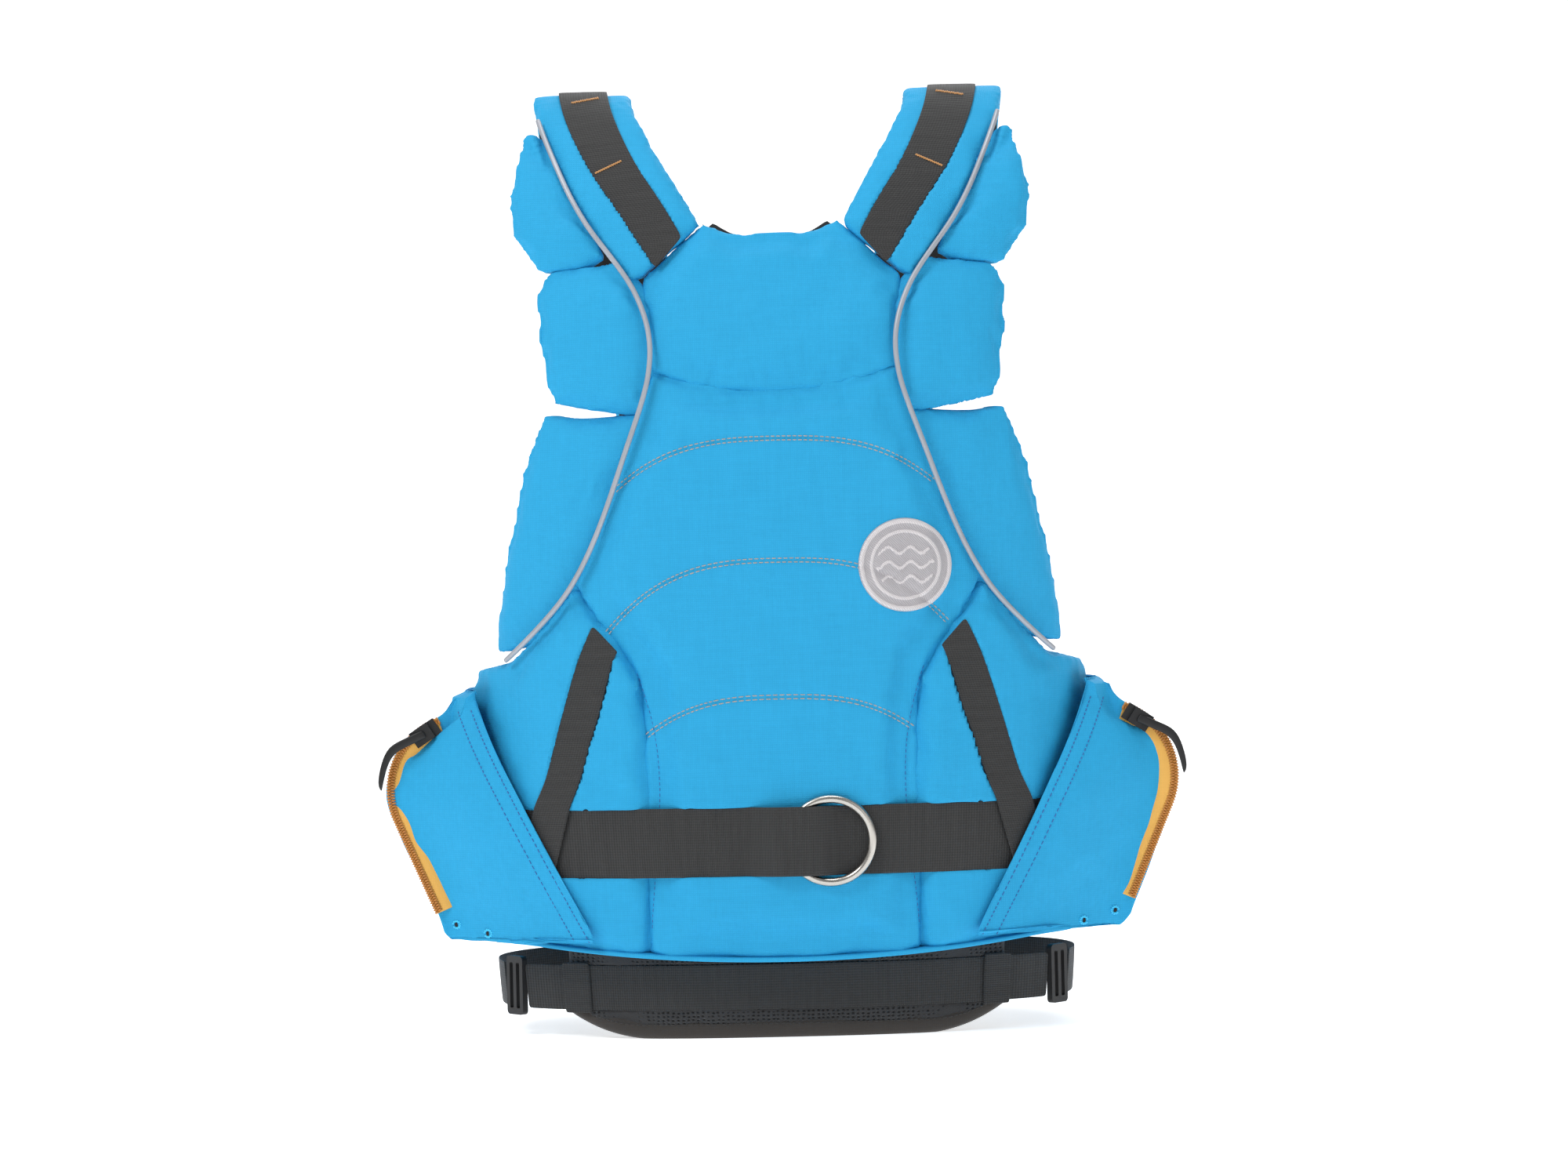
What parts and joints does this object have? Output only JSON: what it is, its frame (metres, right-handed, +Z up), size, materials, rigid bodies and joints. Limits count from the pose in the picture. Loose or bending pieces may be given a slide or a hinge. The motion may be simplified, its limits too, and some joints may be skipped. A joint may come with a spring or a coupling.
{
  "type": "rescue buoyancy vest",
  "caption": "Foam rescue buoyancy vest with armhole wings, side pockets, rescue belt with tow ring, lumbar pad and waist strap.",
  "frame": {"origin": "middle of the vest's box, on the surface that it stands on", "axes": "+Z up, -Y towards the back of the vest, +X towards the wearer's right"},
  "size_m": [0.5654, 0.2976, 0.6657],
  "materials": {
    "blue_fabric": "woven nylon, matt",
    "black_webbing": "ribbed polyester webbing, matt",
    "liner_fabric": "smooth woven nylon lining, matt",
    "foam": "closed-cell foam, matt",
    "mesh_fabric": "spacer mesh, matt",
    "edge_tape": "edge binding tape, matt",
    "reflective_piping": "reflective piping, satin",
    "embroidery": "embroidered thread, satin",
    "zip_tape": "zip tape and coil, satin",
    "plastic": "moulded acetal, satin",
    "steel": "satin stainless steel"
  },
  "bodies": {
    "vest": {"lining_back": "liner_fabric", "foam_back_lower": "foam", "foam_back_upper": "foam", "foam_yoke": "foam", "cover_back_centre": "blue_fabric", "cover_yoke": "blue_fabric", "cover_side_left": "blue_fabric", "foam_side_left": "foam", "cover_side_right": "blue_fabric", "foam_side_right": "foam", "hem_back": "blue_fabric", "cover_shoulder_left": "blue_fabric", "foam_shoulder_left": "foam", "webbing_shoulder_left": "black_webbing", "cover_shoulder_right": "blue_fabric", "foam_shoulder_right": "foam", "webbing_shoulder_right": "black_webbing", "piping_left": "reflective_piping", "piping_right": "reflective_piping", "rescue_belt": "black_webbing", "stay_strap_left": "black_webbing", "stay_strap_right": "black_webbing", "badge": "embroidery", "pocket_left": "blue_fabric", "zip_left": "zip_tape", "pocket_right": "blue_fabric", "zip_right": "zip_tape", "lining_front": "liner_fabric", "foam_front": "foam", "cover_front": "blue_fabric", "chest_pocket": "blue_fabric", "zip_chest": "zip_tape", "cam_buckle": "plastic", "lumbar_pad": "mesh_fabric", "lumbar_binding": "edge_tape", "waist_webbing": "black_webbing", "webbing_keeper_left": "black_webbing", "waist_strap_left": "black_webbing", "webbing_keeper_right": "black_webbing", "waist_strap_right": "black_webbing", "buckle_socket": "plastic"},
    "zip_slider_left": {"zip_slider_left": "plastic"},
    "zip_puller_left": {"zip_puller_left": "plastic"},
    "zip_slider_right": {"zip_slider_right": "plastic"},
    "zip_puller_right": {"zip_puller_right": "plastic"},
    "zip_slider_chest": {"zip_slider_chest": "plastic"},
    "zip_puller_chest": {"zip_puller_chest": "plastic"},
    "tow_ring": {"tow_ring": "steel"},
    "wing_upper_left": {"wing_upper_left": "blue_fabric"},
    "wing_upper_right": {"wing_upper_right": "blue_fabric"},
    "wing_middle_left": {"wing_middle_left": "blue_fabric"},
    "wing_middle_right": {"wing_middle_right": "blue_fabric"},
    "wing_lower_left": {"wing_lower_left": "blue_fabric"},
    "wing_lower_right": {"wing_lower_right": "blue_fabric"},
    "waist_adjuster_left": {"waist_adjuster_left": "plastic"},
    "waist_adjuster_right": {"waist_adjuster_right": "plastic"},
    "shoulder_adjuster_left": {"shoulder_adjuster_left": "plastic"},
    "shoulder_adjuster_right": {"shoulder_adjuster_right": "plastic"},
    "cam_lever": {"cam_lever": "plastic"},
    "buckle_tongue": {"buckle_tongue": "plastic"}
  },
  "joints": [
    {"name": "zip_slide_left", "type": "hinge", "parent": "vest", "child": "zip_slider_left", "pos_m": [-0.2226, -0.07021, 0.174], "axis": [0, -1, 0], "range_deg": [0, 74]},
    {"name": "zip_pull_left", "type": "hinge", "parent": "zip_slider_left", "child": "zip_puller_left", "pos_m": [-0.24874, -0.07761, 0.21426], "axis": [-0.5446, 0, 0.8387], "range_deg": [0, 150]},
    {"name": "zip_slide_right", "type": "hinge", "parent": "vest", "child": "zip_slider_right", "pos_m": [0.2226, -0.07021, 0.174], "axis": [0, 1, 0], "range_deg": [0, 74]},
    {"name": "zip_pull_right", "type": "hinge", "parent": "zip_slider_right", "child": "zip_puller_right", "pos_m": [0.24874, -0.07761, 0.21426], "axis": [-0.5446, 0, -0.8387], "range_deg": [0, 150]},
    {"name": "zip_slide_chest", "type": "slide", "parent": "vest", "child": "zip_slider_chest", "axis": [-1, 0, 0], "range_m": [0, 0.096]},
    {"name": "zip_pull_chest", "type": "hinge", "parent": "zip_slider_chest", "child": "zip_puller_chest", "pos_m": [0.048, 0.14768, 0.296], "axis": [0, 0, -1], "range_deg": [0, 150]},
    {"name": "ring_spin", "type": "hinge", "parent": "vest", "child": "tow_ring", "pos_m": [0.032, -0.1417, 0.1375], "axis": [0.0252, -0.998, -0.0587], "continuous": true},
    {"name": "wing_flex_upper_left", "type": "hinge", "parent": "vest", "child": "wing_upper_left", "pos_m": [-0.1439, -0.09358, 0.5875], "axis": [-0.4728, 0.3835, 0.7933], "range_deg": [-10, 25], "stiffness_Nm_per_rad": 1.2},
    {"name": "wing_flex_upper_right", "type": "hinge", "parent": "vest", "child": "wing_upper_right", "pos_m": [0.1439, -0.09358, 0.5875], "axis": [-0.4728, -0.3835, -0.7933], "range_deg": [-10, 25], "stiffness_Nm_per_rad": 1.2},
    {"name": "wing_flex_middle_left", "type": "hinge", "parent": "vest", "child": "wing_middle_left", "pos_m": [-0.09454, -0.12067, 0.4785], "axis": [-0.2178, 0.0799, 0.9727], "range_deg": [-10, 25], "stiffness_Nm_per_rad": 1.2},
    {"name": "wing_flex_middle_right", "type": "hinge", "parent": "vest", "child": "wing_middle_right", "pos_m": [0.09454, -0.12067, 0.4785], "axis": [-0.2178, -0.0799, -0.9727], "range_deg": [-10, 25], "stiffness_Nm_per_rad": 1.2},
    {"name": "wing_flex_lower_left", "type": "hinge", "parent": "vest", "child": "wing_lower_left", "pos_m": [-0.12475, -0.11317, 0.345], "axis": [0.4605, -0.1493, 0.875], "range_deg": [-10, 25], "stiffness_Nm_per_rad": 1.2},
    {"name": "wing_flex_lower_right", "type": "hinge", "parent": "vest", "child": "wing_lower_right", "pos_m": [0.12475, -0.11317, 0.345], "axis": [0.4605, 0.1493, -0.875], "range_deg": [-10, 25], "stiffness_Nm_per_rad": 1.2},
    {"name": "waist_tilt_left", "type": "hinge", "parent": "vest", "child": "waist_adjuster_left", "pos_m": [-0.18485, -0.06077, 0.0355], "axis": [0, 0, 1], "range_deg": [0, 25]},
    {"name": "waist_tilt_right", "type": "hinge", "parent": "vest", "child": "waist_adjuster_right", "pos_m": [0.18485, -0.06077, 0.0355], "axis": [0, 0, -1], "range_deg": [0, 25]},
    {"name": "shoulder_tilt_left", "type": "hinge", "parent": "vest", "child": "shoulder_adjuster_left", "pos_m": [-0.11624, 0.06898, 0.5712], "axis": [0.9915, 0.1269, 0.0295], "range_deg": [0, 25]},
    {"name": "shoulder_tilt_right", "type": "hinge", "parent": "vest", "child": "shoulder_adjuster_right", "pos_m": [0.11624, 0.06898, 0.5712], "axis": [0.9915, -0.1269, -0.0295], "range_deg": [0, 25]},
    {"name": "cam_lever_flip", "type": "hinge", "parent": "vest", "child": "cam_lever", "pos_m": [0.015, 0.11694, 0.13721], "axis": [0, -0.0463, -0.9989], "range_deg": [0, 100]},
    {"name": "buckle_slide", "type": "slide", "parent": "vest", "child": "buckle_tongue", "axis": [-1, 0, 0], "range_m": [0, 0.03]}
  ]
}
